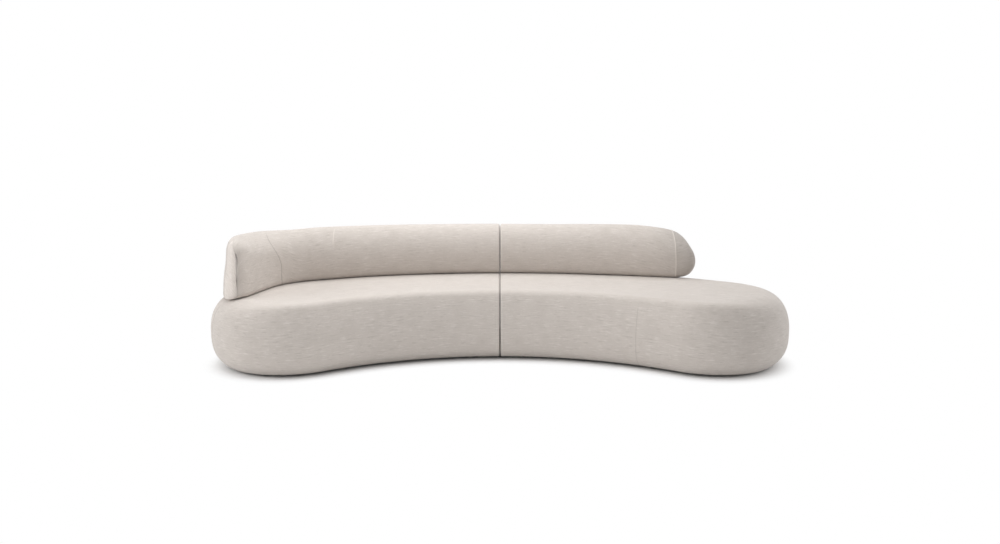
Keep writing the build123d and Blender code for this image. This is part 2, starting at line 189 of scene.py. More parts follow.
# %% Closed skins from two sheets of columns
joint_round = 0.011
joint_pressed = 0.003
joint_touch = 0.0004
merge_distance = 0.0000001
roll_depth = 0.300
press_heights = (0.012, 0.040)
press_run = 0.04
least_way = 1e-12
edge_ahead, face_ahead = 0.03, -0.02
swell_powers = (1.6, 21.6)
swell_depths = (0.04, 0.09)
least_reach = 0.35
ring_shares = (0.97, 0.93, 0.87, 0.75, 0.6, 0.45, 0.3, 0.15, 0)


def portion(value, low, high):
    """0 below low, 1 above high, and straight between."""
    return np.clip((value - low) / (high - low), 0, 1)


def ramp(value, low, high):
    """0 below low, 1 above high, with a smooth step between."""
    part = portion(value, low, high)
    return part * part * (3 - 2 * part)


def pressed(y, z, ahead):
    """1 where roll and seat press on each other at the joint, from a distance ahead of
    the roll's foot, else 0."""
    start = shift_y + centre_depth - roll_depth - ahead
    beside = 1 - ramp(np.abs(z - seat_height), *press_heights)
    return beside * ramp(y, start, start + press_run)


def joint_edge(y, z):
    """Radius over which the cloth turns at the joint, and where its face begins. Both
    are small under the roll, so that no hole stays between the four forms."""
    radius = joint_round + (joint_pressed - joint_round) * pressed(y, z, edge_ahead)
    return radius, joint_face + (joint_touch - joint_face) * pressed(y, z, face_ahead)


def end_rings(loop, middle):
    """Rings of the joint's end: a quarter circle of turned-over cloth, then copies
    of the loop scaled towards its middle, which swell towards the other module: slowly
    behind the front edge, where the gap is seen, and at once elsewhere."""
    radius, face = joint_edge(*loop.T)
    haste = swell_powers[0] + (swell_powers[1] - swell_powers[0]) * ramp(
        loop[:, 0] - loop[:, 0].min(), *swell_depths)
    around = np.roll(loop, -1, 0) - np.roll(loop, 1, 0)
    around /= np.linalg.norm(around, axis=1, keepdims=True) + least_way
    arm = loop - middle
    reach = np.abs(arm[:, 0] * around[:, 1] - arm[:, 1] * around[:, 0])
    reach = np.maximum(reach, least_reach * np.linalg.norm(arm, axis=1))
    made = []
    for angle in np.linspace(0, pi / 2, 7):
        sink = radius * (1 - np.cos(angle))
        ring = middle + arm * (1 - sink / reach)[:, None]
        made.append(np.c_[face + radius * (1 - np.sin(angle)), ring])
    last = made[-1][:, 1:]
    for share in ring_shares:
        swollen = joint_touch + (face - joint_touch) * share ** haste
        made.append(np.c_[swollen, middle + (last - middle) * share])
    return np.array(made)


def rim(grid):
    """Values round the joint's end of a grid: up its first column, down its last."""
    return np.concatenate([grid[0], grid[-1][::-1][1:-1]])


def grid_faces(columns, rows, closed=False):
    """Corner numbers of the quads of a grid, whose last row can join its first."""
    c, r = np.meshgrid(np.arange(columns - 1), np.arange(rows - (not closed)), indexing="ij")
    corner, above = c * rows + r, c * rows + (r + 1) % rows
    return np.stack([corner, corner + rows, above + rows, above], -1).reshape(-1, 4)


def skin_mesh(name, front, back, side, layers):
    """One closed mesh from a front and a back sheet of columns (column, row, xyz) that
    share their first and last rows, with a rounded end at the joint. Each layer is a
    number or a pair of numbers at every point."""
    sheet = np.concatenate([front, back[::-1]])
    for column in (0, -1):
        sheet[column, :, 0] = sum(joint_edge(*sheet[column, :, 1:].T))
    loop = rim(sheet)[:, 1:]
    rings = end_rings(loop, (loop.max(0) + loop.min(0)) / 2)
    points = np.vstack([sheet.reshape(-1, 3), rings.reshape(-1, 3)])
    if side == "left":
        points = points * [-1, 1, 1]
    faces = np.vstack([grid_faces(*sheet.shape[:2]),
                       grid_faces(*rings.shape[:2], closed=True) + sheet[..., 0].size])
    mesh = bpy.data.meshes.new(name)
    mesh.from_pydata(points.tolist(), [], faces.tolist())
    for key, (ahead, behind) in layers.items():
        grid = np.concatenate([ahead, behind[::-1]])
        values = np.concatenate([*grid, *[rim(grid)] * len(rings)]).astype(np.float32)
        if values.ndim == 2:
            corners = np.zeros(len(mesh.loops), int)
            mesh.loops.foreach_get("vertex_index", corners)
            mesh.uv_layers.new(name=key).data.foreach_set("uv", values[corners].ravel())
        else:
            mesh.attributes.new(key, "FLOAT", "POINT").data.foreach_set("value", values)
    tidy(mesh)
    print(name, len(mesh.vertices), "points", len(mesh.polygons), "faces")
    return put(name, mesh)


def tidy(mesh):
    """Close the seams, drop faces without area and turn every face outwards."""
    work = bmesh.new()
    work.from_mesh(mesh)
    bmesh.ops.remove_doubles(work, verts=work.verts, dist=merge_distance)
    bmesh.ops.dissolve_degenerate(work, edges=work.edges, dist=merge_distance)
    bmesh.ops.recalc_face_normals(work, faces=work.faces)
    if work.calc_volume(signed=True) < 0:
        bmesh.ops.reverse_faces(work, faces=work.faces)
    print("open edges", sum(not e.is_manifold for e in work.edges))
    for face in work.faces:
        face.smooth = True
    work.to_mesh(mesh)
    work.free()


# %% [markdown]
# Real upholstery is never quite even: the foam under it gives a little and the
# cloth is tighter in some places. A few long, slow waves of about a millimetre
# stand for that. They are sums of sines with fixed seeds, so they never change.

# %% Slow unevenness of stuffed cloth
wave_terms = 14
wave_longest = 0.9
wave_gain = 2.2
joint_calm = (0.02, 0.14)


def unevenness(points, seed):
    """Sum of sine waves with seeded directions and lengths, from about -1 to 1."""
    random = np.random.default_rng(seed)
    total = np.zeros(points.shape[:-1])
    weight = 0
    for _ in range(wave_terms):
        length = wave_longest * random.uniform(0.25, 1.0)
        way = random.normal(size=3)
        way *= 2 * pi / length / np.linalg.norm(way)
        total += length * np.sin(points @ way + random.uniform(0, 2 * pi))
        weight += length
    return total / weight * wave_gain


def uneven(sheet, normal, line, seed, height, calm):
    """Points moved along their normals: by the slow waves, which die out towards the
    foot and the joint, and inwards along the seams."""
    fade = portion(sheet[..., 2], *calm) * portion(sheet[..., 0], *joint_calm)
    wave = height * unevenness(sheet, seed) * fade
    return sheet + normal * (wave - seam_depth * line)[..., None]


# %% [markdown]
# The seat's columns stand on a spine, the line that is equally far from the front
# and the back arc, which is part of an ellipse. Round the end they fan out from
# the centre of the end circle.

# %% Columns of a seat
seam_steps = np.array((0.0, 0.0012, 0.0028, 0.006))
seam_clear = 0.0084
hem_steps = np.array((0.070, 0.062, 0.056, 0.050, 0.044, 0.020, 0))
hem_rise = 0.0095
seat_step = 0.012
seat_rows = 96
level_rows = 9
least_normal = 1e-9
hem_rise_run = (0.044, 0.062)
underside_rows = 8
firm_run = (1.05, 1.75)
sag_from = 0.28
top_run = (0.03, 0.12)
seat_sag = {"left": ((0.0, 0.5, 0.9, 1.15), (0.002, 0.003, 0.005, 0.009)),
            "right": ((0.0, 0.9, 1.1, 1.25), (0.002, 0.003, 0.002, 0.0))}


def seam_spacing(spots, first, last, step):
    """Places from first to last about a step apart, with fine ones beside each seam."""
    even = np.linspace(first, last, max(2, int(round((last - first) / step)) + 1))
    for spot in spots:
        even = even[np.abs(even - spot) > seam_clear]
    beside = [spot + sign * seam_steps for spot in spots for sign in (-1, 1)]
    return np.unique(np.round(np.concatenate([even, *beside]), 7))


def sagged(side, plan, z):
    """Heights on a seat with the sag of its top, which changes along the sofa."""
    return z - np.interp(plan[..., 0], *seat_sag[side]) * ramp(z, sag_from, seat_height)


def seat_sheets(side, seams, end_seams):
    """Front and back sheets of a seat: point = spine + outward * (reach - inset). The
    cover is turned in under the frame as a hem, and the lining lies a little higher."""
    focus = (front_centre[1] + back_centre[1]) / 2
    semi_x = sqrt(half_sum ** 2 - half_apart ** 2)
    along = seam_spacing(seams, joint_face + joint_round, end_x, seat_step)
    spine = np.c_[along, focus + half_sum * np.sqrt(1 - (along / semi_x) ** 2)]
    to_front, to_back = front_centre - spine, spine - back_centre
    length_front = np.linalg.norm(to_front, axis=1, keepdims=True)
    to_back /= np.linalg.norm(to_back, axis=1, keepdims=True)
    first_turn = front_turn - pi
    middle_turn = (first_turn + back_turn) / 2
    round_end = end_radius * (middle_turn - first_turn)
    spots = (back_turn - np.array(end_seams)) / (back_turn - middle_turn) * round_end
    fan = seam_spacing(spots, 0, round_end, seat_step)[1:]
    fan /= fan[-1]
    spine = np.vstack([spine, np.tile(end_centre, (len(fan), 1))])
    reach = np.r_[length_front[:, 0] - front_radius, np.full(len(fan), end_radius)][:, None]
    ways = [np.vstack([straight, toward(turn + (middle_turn - turn) * fan)]) for straight, turn
            in ((to_front / length_front, first_turn), (to_back, back_turn))]
    profile, length = seat_profile(seat_rows, soft_shoulder())
    firm, _ = seat_profile(seat_rows, firm_shoulder())
    under = np.linspace(0, 1, underside_rows)[:-1]
    over = np.linspace(1, 0, level_rows)[1:]
    below = np.r_[np.full(len(under), floor_gap + hem_rise),
                  floor_gap + hem_rise * ramp(hem_steps, *hem_rise_run)[:-1]]
    up = np.r_[np.zeros(len(below)), length, np.full(len(over), length[-1])]
    inner = reach - profile[0, 0]
    sheets, lengths, tops = [], [], []
    for number, way in enumerate(ways):
        run = lengths_along(spine + way * reach)
        firmness = (1 - ramp(run, *firm_run)) * (number == 0)
        inset, high = np.moveaxis(profile + (firm - profile) * firmness[:, None, None], -1, 0)
        out = np.concatenate([(inner - hem_steps[0]) * under, inner - hem_steps[:-1],
                              reach - inset, (reach - level_reach) * over], 1)
        z = np.concatenate([np.broadcast_to(below, (len(reach), len(below))), high,
                            np.full((len(reach), len(over)), seat_height)], 1)
        flat = spine[:, None] + way[:, None] * out[..., None]
        z = sagged(side, flat, z)
        sheets.append(lifted(flat, z))
        lengths.append(np.stack(np.broadcast_arrays(run[:, None], up[None]), -1))
        tops.append(ramp(reach - out, *top_run) * (z > widest_height))
    lengths[1] = lengths[1] * [-1, 1] + [lengths[0][-1, 0, 0] + lengths[1][-1, 0, 0], 0]
    return sheets, lengths, tops


def skin_normals(sheet):
    """Unit normals of a sheet from its column and row differences."""
    across = np.gradient(sheet, axis=0)
    down = np.gradient(sheet, axis=1)
    normal = np.cross(across, down)
    size = np.linalg.norm(normal, axis=-1, keepdims=True)
    return np.where(size > least_normal, normal / np.maximum(size, least_normal), 0)


def seam_line(sheet, column, width):
    """1 on a column of a sheet, falling off with the distance from it as a bell curve."""
    away = np.linalg.norm(sheet - sheet[column][None], axis=-1)
    return np.exp(-(away / width) ** 2)


def seam_columns(sheet, number, seams, end_seams):
    """Numbers of the columns that seams follow: by x on the front sheet, and by angle
    round the end on the back sheet."""
    spine = sheet[:, -1, :2]
    if number == 0:
        return [nearest(spine[:, 0], seam) for seam in seams]
    turn = polar(sheet[:, sheet.shape[1] // 2, :2], end_centre)[0]
    fan = polar(spine, end_centre)[1] < merge_distance
    return [nearest(np.where(fan, turn, 2 * pi), seam) for seam in end_seams]


seat_wave = 0.0012
seat_calm = (floor_gap + 0.02, floor_gap + 0.10)
seam_depth = 0.0022
groove_width = 0.0022
# Strength of each seat's seams: the depth of the groove and of its painted shade.
seat_seam = {"left": 0.9, "right": 0.3}
seam_ends = (0.33, 0.39)
right_front_seam = 0.98
left_end_seam = radians(-30)


def make_seat(name, side, seams, end_seams, seed):
    """A seat's skin, with shallow upright seams and the slow unevenness of foam."""
    sheets, lengths, tops = seat_sheets(side, seams, end_seams)
    lines = []
    for number, sheet in enumerate(sheets):
        normal = skin_normals(sheet) * (1 if number == 0 else -1)
        line = np.zeros(sheet.shape[:2])
        for column in seam_columns(sheet, number, seams, end_seams):
            line = np.maximum(line, seat_seam[side] * seam_line(sheet, column, groove_width))
        line *= 1 - ramp(sheet[..., 2], *seam_ends)
        line[:, [0, -1]] = normal[:, [0, -1]] = 0
        sheets[number] = uneven(sheet, normal, line, seed, seat_wave, seat_calm)
        lines.append(line)
    sheets[0][-1] = sheets[1][-1] = (sheets[0][-1] + sheets[1][-1]) / 2
    return skin_mesh(name, *sheets, side, {"cloth": lengths, "seam": lines, "top": tops})


seats = {
    "left": make_seat("left_seat_upholstery", "left", [], [left_end_seam], 11),
    "right": make_seat("right_seat_upholstery", "right", [right_front_seam], [], 23),
}

# %% [markdown]
# The backrest is a roll with two kinds of face. The front face overhangs the seat
# a little and rounds over to the top; the outside face leans in and rounds over
# too. On the left an upright inner face makes an arm of the roll's end. On the
# right a face across the roll ends it, undercut at the foot and sloping above.

# %% Profiles of the roll's faces
roll_height = 0.738
root_height = 0.350
root_inset = 0.072
lean_height = 0.650
lean_inset = 0.098
ridge_inset = 0.170
ridge_power = 2.4
lean_slope = (lean_inset - root_inset) / (lean_height - root_height)
flat_reach = 0.08
lower_length, upper_length = 0.13, 0.25
whole_length = lower_length + upper_length + flat_reach
least_size = 0.000001


def stretch(length):
    """0 to 1 up the lower part of a face, to 2 round its upper part, to 3 on the flat."""
    stops = np.cumsum([0, lower_length, upper_length, flat_reach])
    return np.interp(length, stops, [0, 1, 2, 3])


def oval_value(inside, above, width, height, power):
    """How far a point lies outside a quarter of an oval: its shares of the width and
    the height are raised to a power and summed, and divided by that sum's slope."""
    across, up = np.clip(inside, 0, None) / width, np.clip(above, 0, None) / height
    size = np.maximum((across ** power + up ** power) ** (1 / power), least_size)
    slope = np.hypot(across / width, up / height) / size
    return (size - 1) / np.maximum(slope, least_size)


class Face:
    """Profile of an inner face: a lower curve, a quarter ellipse to the top, then level."""

    def __init__(self, start, width, deep=0.0):
        self.start, self.width, self.deep = start, width, deep
        self.rise = start - seat_height
        self.radius = (deep ** 2 + self.rise ** 2) / (2 * deep) if deep else 0

    def low(self, z):
        """Depth below the start: a circle that is upright at the start, or nothing."""
        if not self.deep:
            return np.zeros_like(z)
        drop = np.clip(self.start - z, 0, self.rise)
        return self.radius - np.sqrt(self.radius ** 2 - drop ** 2)

    def depth(self, z):
        """Depth of the face at a height."""
        share = portion(z, self.start, roll_height)
        return np.where(z < self.start, self.low(z), self.width * (1 - np.sqrt(1 - share ** 2)))

    def point(self, length, foot):
        """Depth and height at a length up the face from its foot."""
        part = stretch(length)
        turn = np.clip(part - 1, 0, 1) * pi / 2
        z = np.where(part < 1, foot + part * (self.start - foot),
                     self.start + (roll_height - self.start) * np.sin(turn))
        depth = np.where(part < 1, self.low(z), self.width * (1 - np.cos(turn)))
        return depth + np.clip(part - 2, 0, 1) * flat_reach, z

    def value(self, depth, z):
        """How far a point lies outside the face, in metres, negative inside."""
        return np.where(z < self.start, self.low(z) - depth, oval_value(
            self.width - depth, z - self.start, self.width, roll_height - self.start, 2))


front_face = Face(0.555, 0.140, 0.028)
arm_face = Face(0.570, 0.150)
arm_stuffing = Face(0.605, 0.125)
nose_stuffing = Face(0.675, 0.065)
end_face = Face(0.5225, 0.240, 0.0568)


def outer_line(z):
    """Inset of the leaning outside face, continued upwards."""
    return lean_inset + lean_slope * (z - lean_height)


def outer_value(inset, z):
    """How far a point lies outside the outside face: a leaning plane, then a shoulder
    between an ellipse and a box."""
    line = outer_line(np.minimum(z, roll_height))
    return np.where(z < lean_height, outer_line(z) - inset, oval_value(
        ridge_inset - inset, z - lean_height, ridge_inset - line,
        roll_height - lean_height, ridge_power))


def outer_point(length, foot):
    """Inset and height on the outside face, from its foot up and over to the ridge."""
    part = stretch(length)
    turn = np.clip(part - 1, 0, 1) * pi / 2
    up, across = (np.clip(wave(turn), 0, 1) ** (2 / ridge_power) for wave in (np.sin, np.cos))
    z = np.where(part < 1, foot + part * (lean_height - foot),
                 lean_height + (roll_height - lean_height) * up)
    line = outer_line(z)
    inset = np.where(part < 1, line, ridge_inset - (ridge_inset - line) * across)
    return inset + np.clip(part - 2, 0, 1) * flat_reach, z


# %% [markdown]
# Each face is laid out in plan about a centre of its own. Where two faces meet,
# the meeting line is found by halving: a column climbs its face until it comes out
# of the other one.

# %% Faces laid out in plan
front_arcs = {"left": back_radius + 0.418, "right": back_radius + 1.038}
arm_offset = 0.155
arm_turn = radians(11.3)
across_arm = toward(arm_turn)
along_arm = toward(arm_turn - pi / 2)
end_reach = 1.270
rest_gap = 0.0006
tip_rounds = 6


def seat_under(plan, side):
    """Height at which the roll lies on the seat at places in plan."""
    return sagged(side, plan, seat_top(seat_inset(plan))) + rest_gap


class Front:
    """Front face of one module, an arc about its own centre."""

    def __init__(self, side):
        arc = front_arcs[side]
        self.centre = np.array([0, back_centre[1] + back_radius - roll_depth - arc])
        self.radius = arc - front_face.deep

    def place(self, angle, depth):
        """Point in plan at an angle about the centre and a depth behind the face."""
        return self.centre + (self.radius + depth)[..., None] * toward(angle)

    def depth(self, plan):
        """Depth of a point behind the face."""
        return polar(plan, self.centre)[1] - self.radius

    def angle(self, x, depth):
        """Angle at which a given x is reached at a depth."""
        return np.arccos(x / (self.radius + depth))

    def mitre(self, z):
        """Distance along the arm where arm and front face meet at a height: a line
        cut with a circle."""
        rho = self.radius + front_face.depth(z)
        off = arm_offset + arm_face.depth(z)
        start = end_centre - self.centre + off[..., None] * across_arm
        b = start @ along_arm
        return -b - np.sqrt(b ** 2 - (start ** 2).sum(-1) + rho ** 2)

    def corner(self, z):
        """Y at which the front face meets the end face at a height."""
        reach = end_reach - end_face.depth(z)
        return self.centre[1] + np.sqrt((self.radius + front_face.depth(z)) ** 2 - reach ** 2)


def arm_place(along, depth):
    """Point in plan at a distance along the arm and a depth into it."""
    across = (arm_offset + depth)[..., None] * across_arm
    return end_centre + across + along[..., None] * along_arm


def outer_polar(plan):
    """Angle and inset of a point, on the seat's back arc or on its end circle."""
    about_back, from_back = polar(plan, back_centre)
    about_end, from_end = polar(plan, end_centre)
    on_back = about_back > back_turn
    return (np.where(on_back, about_back, about_end),
            np.where(on_back, back_radius - from_back, end_radius - from_end))


def outer_place(angle, inset):
    """Point in plan at an angle and an inset from the seat's outline."""
    on_back, inset = (angle > back_turn)[..., None], inset[..., None]
    return np.where(on_back, back_centre + (back_radius - inset) * toward(angle),
                    end_centre + (end_radius - inset) * toward(angle))


def halved(low, high, is_high, steps=46):
    """Place between low and high where a test turns true, by halving."""
    for _ in range(steps):
        middle = (low + high) / 2
        beyond = is_high(middle)
        high, low = np.where(beyond, middle, high), np.where(beyond, low, middle)
    return low


def outside(points):
    """How far points in space lie outside the outside face."""
    return outer_value(outer_polar(points[..., :2])[1], points[..., 2])


def tip_of_arm():
    """Distance along the arm to its nose, where inner and outside face meet at the foot."""
    inset, reach = root_inset, 0.0
    for _ in range(tip_rounds):
        reach = sqrt((end_radius - inset) ** 2 - arm_offset ** 2)
        z = float(seat_under(arm_place(np.array(reach), np.array(0.0)), "left"))
        inset = float(outer_line(np.array(z)))
    return reach


arm_tip = tip_of_arm()
print("arm's nose", round(arm_tip, 4), "along it")

# %% [markdown]
# The covers are sewn from panels. An end panel closes the right roll behind a raised
# seam, a curved mitre joins back and arm, and a last seam runs down beside the arm's
# nose. The columns bend to follow these seams, so that each lies on one column.

# %% Seams of the rolls
cap_seam = (1.117, 1.100)
back_seam = 1.050
mitre_heights = (0.42, 0.50, 0.55, 0.60, 0.65, 0.70, 0.735)
mitre_shifts = (0.070, 0.066, 0.066, 0.098, 0.128, 0.131, 0.045)
mitre_curve = np.polyfit(mitre_heights, mitre_shifts, 4)
nose_heights = (0.40, 0.60, 0.65, 0.70, 0.72, 0.735)
nose_places = (0.333, 0.333, 0.317, 0.280, 0.240, 0.200)
face_stops = {"left": (0, 0.75, 1), "right": (0, 0.9, 1)}
arm_stops = (0, 0.2, 0.85, 1)
seam_margin = 0.006


def between(share, stops, values):
    """Value at a share, in straight steps between the values at the stops."""
    total = values[0]
    for low, high, first, last in zip(stops, stops[1:], values, values[1:]):
        total = total + (last - first) * portion(share, low, high)
    return total


def face_angle(front, side, share, z, depth):
    """Angle of a column of the front face: joint, seam, then mitre or end corner."""
    first = front.angle(joint_face + joint_round, depth)
    if side == "left":
        meeting = arm_place(front.mitre(z), arm_face.depth(z)) - front.centre
        last = np.arctan2(meeting[..., 1], meeting[..., 0])
        seam = front.angle(back_seam, depth)
    else:
        reach = end_reach - end_face.depth(z)
        last = front.angle(reach, depth)
        line = np.interp(z, (seat_height, roll_height), cap_seam)
        seam = front.angle(np.minimum(line, reach - seam_margin), depth)
    return between(share, face_stops[side], (first, seam, last))


def arm_along(front, share, z):
    """Distance along the arm of a column: corner, mitre seam, nose seam, tip."""
    corner = front.mitre(z)
    mitre = corner + np.polyval(mitre_curve, np.clip(z, mitre_heights[0], mitre_heights[-1]))
    nose = np.interp(z, nose_heights, nose_places)
    return between(share, arm_stops, (corner, mitre, nose, arm_tip))


# %% [markdown]
# With the faces and their meeting lines known, the roll is peeled as the seat was.
# Rows lie closer together at the meeting line and at the foot, where the cloth
# turns sharply.

# %% Sheets of a roll
roll_rows = 60
under_rows = 9
roll_step = 0.012
trial_columns = 600
foot_rounds = 8
least_step = 0.0006
graded_ends = 0.72
meeting_slack = 0.00001


def graded(count):
    """0 to 1 with smaller steps at both ends: a line less part of a sine."""
    t = np.linspace(0, 1, count)
    return t - graded_ends * np.sin(2 * pi * t) / (2 * pi)


def panel(column, seams):
    """Columns of one panel: column(share, length) gives points in space, and each
    climbs from its foot to where it comes out of the outside face. They stand about
    a step apart at foot or top, with finer steps beside the seams."""
    def tops(shares):
        return halved(0 * shares, 0 * shares + whole_length,
                      lambda length: outside(column(shares, length)) > -meeting_slack)
    trial = np.linspace(0, 1, trial_columns)
    ends = np.concatenate([column(trial, 0 * trial), column(trial, tops(trial))], -1)
    run = np.r_[0, np.cumsum(np.abs(np.diff(ends, axis=0)).max(1))]
    spots = np.interp(seams, trial, run)
    places = seam_spacing(spots, 0, run[-1], roll_step)
    inside = places[(places > least_step) & (places < run[-1] - least_step)]
    shares = np.interp(np.r_[0, inside, run[-1]], run, trial)
    rise = tops(shares)[:, None] * (1 - graded(roll_rows))[None]
    sheet = column(*np.broadcast_arrays(shares[:, None], rise))
    return sheet, [nearest(shares, seam) for seam in seams]


def front_sheet(side, front):
    """All columns of the front of a roll, face and arm or face and end, and its seams."""
    def along_face(share, length):
        level, deep = np.full(share.shape, seat_height), np.full(share.shape, front_face.deep)
        foot = seat_under(front.place(face_angle(front, side, share, level, deep), deep), side)
        depth, z = front_face.point(length, foot)
        return lifted(front.place(face_angle(front, side, share, z, depth), depth), z)

    def along_inner(share, length):
        level = np.full(share.shape, seat_height)
        foot = seat_under(arm_place(arm_along(front, share, level), 0 * share), side)
        depth, z = arm_face.point(length, foot)
        return lifted(arm_place(arm_along(front, share, z), depth), z)

    reach = end_reach - end_face.deep
    corner = front.corner(np.array(seat_height))

    def past_outside(y):
        plan = np.array([reach, y])
        return outside(lifted(plan, seat_under(plan, side))) > 0

    span = halved(corner, corner + end_radius, past_outside) - corner if side == "right" else 0

    def along_end(share, length):
        plan = np.stack([np.full(share.shape, reach), corner + span * share], -1)
        depth, z = end_face.point(length, seat_under(plan, side))
        return np.stack([end_reach - depth, front.corner(z) + span * share, z], -1)

    face, face_seams = panel(along_face, face_stops[side][1:2])
    rest, rest_seams = (panel(along_inner, arm_stops[1:3]) if side == "left"
                        else panel(along_end, ()))
    seams = face_seams + [len(face) - 1 + column for column in rest_seams]
    return np.concatenate([face, rest[1:]]), seams


def outer_sheet(top, side):
    """Columns of the outside face, each from a point of the meeting line to the foot."""
    angle, inset = outer_polar(top[:, :2])
    foot = np.full(len(top), seat_height)
    for _ in range(foot_rounds):
        foot = seat_under(outer_place(angle, outer_line(foot)), side)
    length = halved(0 * foot, 0 * foot + whole_length,
                    lambda middle: outer_point(middle, foot)[0] > inset)
    inset, z = outer_point(length[:, None] * (1 - graded(roll_rows))[None], foot[:, None])
    angle = np.broadcast_to(angle[:, None], inset.shape).copy()
    angle[0] = np.arccos(top[0, 0] / (back_radius - inset[0]))
    sheet = lifted(outer_place(angle, inset), z)
    sheet[:, 0] = top
    return sheet


def with_underside(front, back, side):
    """Both sheets carried on under the roll to a shared middle line, on the seat."""
    middle = (front[:, -1] + back[:, -1]) / 2
    share = np.linspace(0, 1, under_rows + 1)[1:]
    sheets = []
    for sheet in (front, back):
        under = sheet[:, -1:] + (middle - sheet[:, -1])[:, None] * share[None, :, None]
        under[..., 2] = seat_under(under[..., :2], side)
        sheets.append(np.concatenate([sheet, under], 1))
    return sheets


# %% [markdown]
# The sharp form is then settled on to a soft one. One function says how far a point
# is outside the roll, and blends the faces over a width where they meet: narrow at
# the foot, wide in the inner corner, at the nose and round the right end. Each point
# walks along that function's slope until it is on the surface.

# %% Soft edges and corners
def soft_max(a, b, width):
    """Larger of two values, rounded off where they are closer than a width."""
    near = np.clip(width - np.abs(a - b), 0, None) / width
    return np.maximum(a, b) + near ** 2 * width / 4


# Widths of the blends, and the runs over which some of them begin.
foot_soft = 0.034
ridge_soft = 0.016
corner_soft = 0.16
nose_soft = (0.13, 0.05)
nose_heights_soft = (0.50, 0.68)
nose_run = (0.12, 0.28)
end_soft, end_run = 0.14, (0.80, 1.12)
cap_soft, cap_run = 0.10, (1.10, 1.22)
least_soft = 0.001
fade_from = 0.60


def fading(z):
    """1 up to the shoulders and 0 at the top, as a quarter circle, so that a blend
    stops where both its faces are level."""
    return np.sqrt(1 - portion(z, fade_from, roll_height) ** 2)


def roll_value(points, side, front):
    """Distance outside the roll: inside both the outside face and one of the inner
    faces, and above the seat."""
    plan, x, z = points[..., :2], points[..., 0], points[..., 2]
    inner = front_face.value(front.depth(plan), z)
    if side == "left":
        arm = plan - end_centre
        toward_nose = ramp(arm @ along_arm, *nose_run)
        arm_side, nose_side = (face.value(arm @ across_arm - arm_offset, z)
                               for face in (arm_stuffing, nose_stuffing))
        arm_side = arm_side + (nose_side - arm_side) * toward_nose
        inner = -soft_max(-inner, -arm_side, corner_soft * fading(z) + least_soft)
        nose_edge = np.interp(z, nose_heights_soft, nose_soft)
        edge = ridge_soft + (nose_edge - ridge_soft) * toward_nose
    else:
        width = end_soft * fading(z) * ramp(x, *end_run) + least_soft
        inner = soft_max(inner, end_face.value(end_reach - x, z), width)
        edge = ridge_soft + (cap_soft - ridge_soft) * ramp(x, *cap_run) * fading(z)
    below = seat_under(plan, side) - z
    return soft_max(soft_max(outside(points), inner, edge), below, foot_soft)


settling_rounds = 6
settling_step = 0.0004
least_slope = 0.2


def settled(points, value):
    """Points moved on to where a value is zero, and the outward direction there."""
    for _ in range(settling_rounds):
        slope = np.stack([value(points + step) - value(points - step)
                          for step in settling_step * np.eye(3)], -1) / (2 * settling_step)
        size = np.maximum((slope ** 2).sum(-1, keepdims=True), least_slope)
        points = points - value(points)[..., None] * slope / size
    return points, slope / np.sqrt(size)


# Lift of the stuffing in metres at places along the sofa, and the arm's lean.
stuffing = {"left": ((0.40, 0.75, 1.15, 1.40), (0, 0.006, 0.011, 0.007)),
            "right": ((0.40, 0.90), (0, 0.0127))}
stuffing_heights = (0.48, 0.72)
arm_lean = 0.008
lean_run, lean_heights = (1.46, 1.52), (0.50, 0.62)


def stuffed(points, side):
    """Points lifted where the stuffing stands higher towards the ends: the lift grows
    along the sofa, and with the height above the seat. The arm's outer side leans in
    a little above its middle."""
    x, z = points[..., 0], points[..., 2]
    lift = np.interp(x, *stuffing[side]) * ramp(z, *stuffing_heights)
    lean = arm_lean * ramp(x, *lean_run) * ramp(z, *lean_heights)
    return points + np.stack([-lean, 0 * x, lift], -1)


# %% [markdown]
# Each seam is a strength at every height: 1 is a dark groove, whose darkness is painted
# shade, and -1 a raised edge, painted pale as a painted highlight where it catches the
# light. Each panel also has its own painted light: the arm's nose panel is painted paler,
# where it faces the lamps, and the right roll's end panel darker, as painted shade where it
# turns away from them. The right roll's cloth gets painted shade that grows where it nears
# the end panel's seam, where the cover turns.

# %% Sewn rolls
seam_strengths = {
    "left": (((0.62, 0.66, 0.71, 0.736), (0, -0.5, -0.5, 0)),
             ((0.71, 0.736), (0.7, 0)),
             ((0.56, 0.64, 0.71, 0.736), (0.35, 0.85, 0.85, 0))),
    "right": (((seat_height, roll_height), (-0.8, -0.8)),)}
seams_behind = {"left": 2, "right": 1}
edge_width = 0.0028
# Painted light of each panel, in seam order: the left arm's nose panel paler and the right end
# panel darker. seam_shadow is painted shade near the end seam.
panel_painted_light = {"left": (1, 1, 1, 1.19), "right": (1, 0.80)}
seam_shadow = {"left": 0, "right": 0.11}
shadow_run = (0.94, 1.11)
roll_wave = 0.0013
roll_calm = (seat_height + 0.01, seat_height + 0.07)


